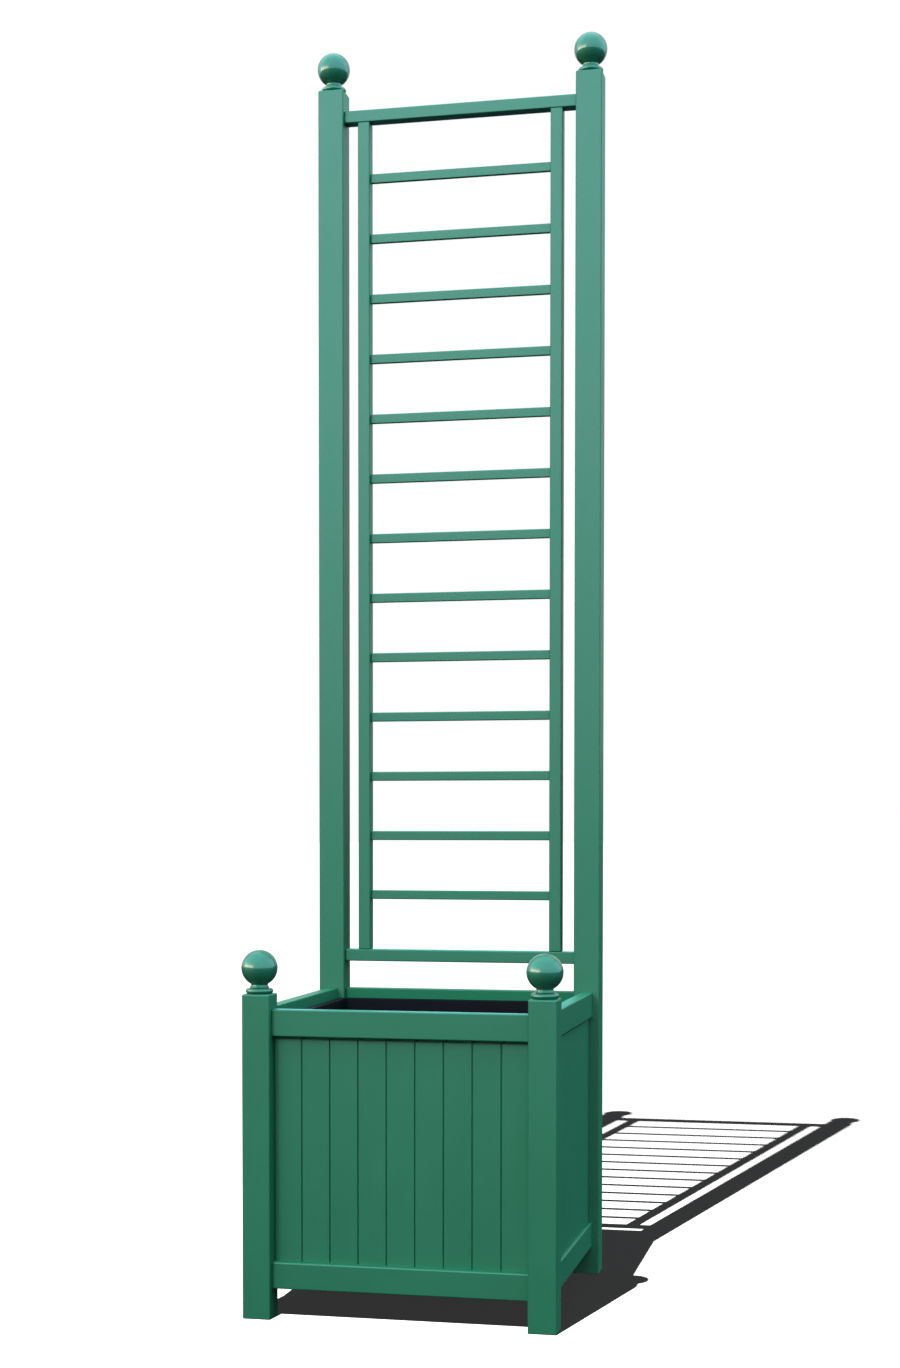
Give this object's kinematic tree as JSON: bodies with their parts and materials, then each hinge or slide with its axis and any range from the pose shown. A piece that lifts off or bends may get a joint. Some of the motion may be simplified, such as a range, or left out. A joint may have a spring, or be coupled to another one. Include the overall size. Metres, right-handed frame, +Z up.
{
  "type": "planter with trellis",
  "caption": "Square panelled timber planter on four posts, with a lift-out liner and a tall ladder trellis between its two rear posts, each post topped by a ball finial.",
  "frame": {"origin": "on the ground under the middle of the box, which is also the middle of the bounding box", "axes": "+Z up, +Y to the back where the trellis stands, +X to the right seen from the front"},
  "size_m": [0.512, 0.512, 2.131],
  "materials": {
    "painted_timber": "satin green exterior wood paint over planed softwood",
    "gloss_finial": "gloss green paint on turned hardwood",
    "inner_timber": "green preservative on rough softwood",
    "steel_screw": "zinc plated",
    "black_liner": "moulded black polypropylene"
  },
  "bodies": {
    "frame": {"post_front_left": "painted_timber", "post_front_right": "painted_timber", "post_rear_left": "painted_timber", "post_rear_right": "painted_timber", "finial_front_left": "gloss_finial", "finial_front_right": "gloss_finial", "finial_rear_left": "gloss_finial", "finial_rear_right": "gloss_finial", "finial_dowels": "steel_screw", "front_top_rail": "painted_timber", "front_bottom_rail": "painted_timber", "rear_top_rail": "painted_timber", "rear_bottom_rail": "painted_timber", "left_top_rail": "painted_timber", "left_bottom_rail": "painted_timber", "right_top_rail": "painted_timber", "right_bottom_rail": "painted_timber", "front_board_1": "painted_timber", "front_board_2": "painted_timber", "front_board_3": "painted_timber", "front_board_4": "painted_timber", "front_board_5": "painted_timber", "front_board_6": "painted_timber", "front_board_7": "painted_timber", "front_board_8": "painted_timber", "front_board_9": "painted_timber", "rear_boards": "painted_timber", "left_boards": "painted_timber", "right_boards": "painted_timber", "trellis_top_rail": "painted_timber", "trellis_bottom_rail": "painted_timber", "trellis_stile_left": "painted_timber", "trellis_stile_right": "painted_timber", "rung_1": "painted_timber", "rung_2": "painted_timber", "rung_3": "painted_timber", "rung_4": "painted_timber", "rung_5": "painted_timber", "rung_6": "painted_timber", "rung_7": "painted_timber", "rung_8": "painted_timber", "rung_9": "painted_timber", "rung_10": "painted_timber", "rung_11": "painted_timber", "rung_12": "painted_timber", "rung_13": "painted_timber", "bearer_front": "inner_timber", "bearer_rear": "inner_timber", "floor_slat_1": "inner_timber", "floor_slat_2": "inner_timber", "floor_slat_3": "inner_timber", "floor_slat_4": "inner_timber", "floor_slat_5": "inner_timber", "slat_screws": "steel_screw", "bearer_screws": "steel_screw"},
    "liner": {"liner": "black_liner"}
  },
  "joints": [
    {"name": "liner_lift", "type": "slide", "parent": "frame", "child": "liner", "axis": [0, 0, 1], "range_m": [0, 0.41]}
  ]
}
